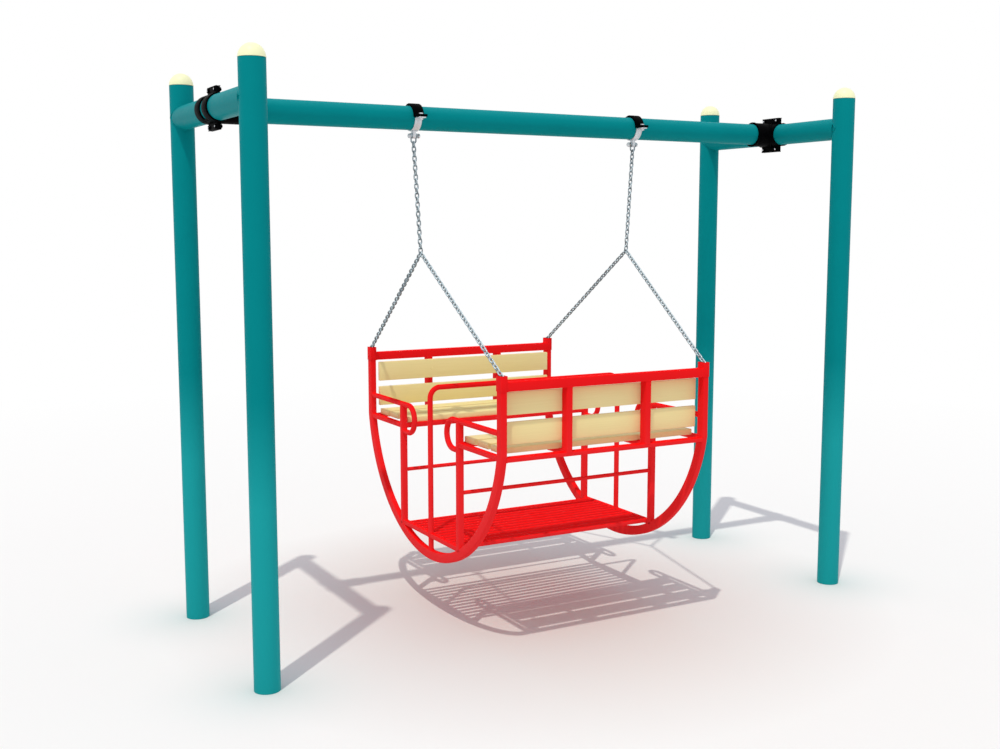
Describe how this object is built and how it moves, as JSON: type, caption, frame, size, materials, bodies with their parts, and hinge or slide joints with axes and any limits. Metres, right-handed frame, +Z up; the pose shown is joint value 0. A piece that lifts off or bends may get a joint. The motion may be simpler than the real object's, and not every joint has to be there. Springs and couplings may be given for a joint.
{
  "type": "jhoola swing",
  "caption": "Free-standing outdoor jhoola: a face-to-face two-bench gondola on bent hoops hangs by spreading chains from a pipe portal and swings.",
  "frame": {"origin": "on the ground, midway between the four posts", "axes": "+X along the beam to the right as seen in the picture, +Y from the front posts to the back posts, +Z up"},
  "size_m": [3.3598, 1.5278, 2.7022],
  "materials": {
    "teal_paint": "satin powder coat",
    "cream_plastic": "moulded, slight gloss",
    "black_casting": "black coated casting",
    "galvanised_steel": "hot-dip galvanised",
    "chain_steel": "weathered zinc",
    "red_paint": "glossy powder coat",
    "cream_boards": "cream lacquer",
    "bronze": "turned"
  },
  "bodies": {
    "portal": {"post_front_left": "teal_paint", "post_cap_front_left": "cream_plastic", "post_front_right": "teal_paint", "post_cap_front_right": "cream_plastic", "post_back_left": "teal_paint", "post_cap_back_left": "cream_plastic", "post_back_right": "teal_paint", "post_cap_back_right": "cream_plastic", "cross_tube_left": "teal_paint", "clamp_inner_left": "black_casting", "clamp_outer_left": "black_casting", "hanger_upper_left": "black_casting", "hanger_lower_left": "galvanised_steel", "cross_tube_right": "teal_paint", "clamp_inner_right": "black_casting", "clamp_outer_right": "black_casting", "hanger_upper_right": "black_casting", "hanger_lower_right": "galvanised_steel", "top_beam": "teal_paint", "clamp_bolts": "black_casting", "hanger_bolts": "galvanised_steel", "pivot_bolts": "galvanised_steel", "lock_nuts": "galvanised_steel"},
    "left_chain": {"stirrup_left": "chain_steel", "pivot_bush_left": "bronze", "main_chain_left": "chain_steel"},
    "right_chain": {"stirrup_right": "chain_steel", "pivot_bush_right": "bronze", "main_chain_right": "chain_steel"},
    "gondola": {"apex_link_left": "chain_steel", "hoop_left": "red_paint", "bridle_front_left": "chain_steel", "armrest_front_left": "red_paint", "bridle_back_left": "chain_steel", "armrest_back_left": "red_paint", "apex_link_right": "chain_steel", "hoop_right": "red_paint", "bridle_front_right": "chain_steel", "armrest_front_right": "red_paint", "bridle_back_right": "chain_steel", "armrest_back_right": "red_paint", "bench_frame_front": "red_paint", "seat_frame_front": "red_paint", "leg_guard_front": "red_paint", "back_board_front_upper": "cream_boards", "back_board_front_lower": "cream_boards", "seat_boards_front": "cream_boards", "bench_frame_back": "red_paint", "seat_frame_back": "red_paint", "leg_guard_back": "red_paint", "back_board_back_upper": "cream_boards", "back_board_back_lower": "cream_boards", "seat_boards_back": "cream_boards", "hoop_caps": "red_paint", "anchor_pins": "red_paint", "grab_rail": "red_paint", "deck_frame": "red_paint", "deck_bars": "red_paint", "board_bolts": "cream_boards", "board_nuts": "galvanised_steel"}
  },
  "joints": [
    {"name": "swing_left", "type": "hinge", "parent": "portal", "child": "left_chain", "pos_m": [-0.645, 0, 2.406], "axis": [1, 0, 0], "range_deg": [-40, 40]},
    {"name": "swing_right", "type": "hinge", "parent": "portal", "child": "right_chain", "pos_m": [0.645, 0, 2.406], "axis": [1, 0, 0], "range_deg": [-40, 40]},
    {"name": "gondola_tilt", "type": "hinge", "parent": "left_chain", "child": "gondola", "pos_m": [-0.611, 0, 1.84], "axis": [1, 0, 0], "range_deg": [-15, 15]}
  ],
  "couplings": [
    {"joint": "swing_right", "follows": "swing_left", "ratio": 1}
  ]
}
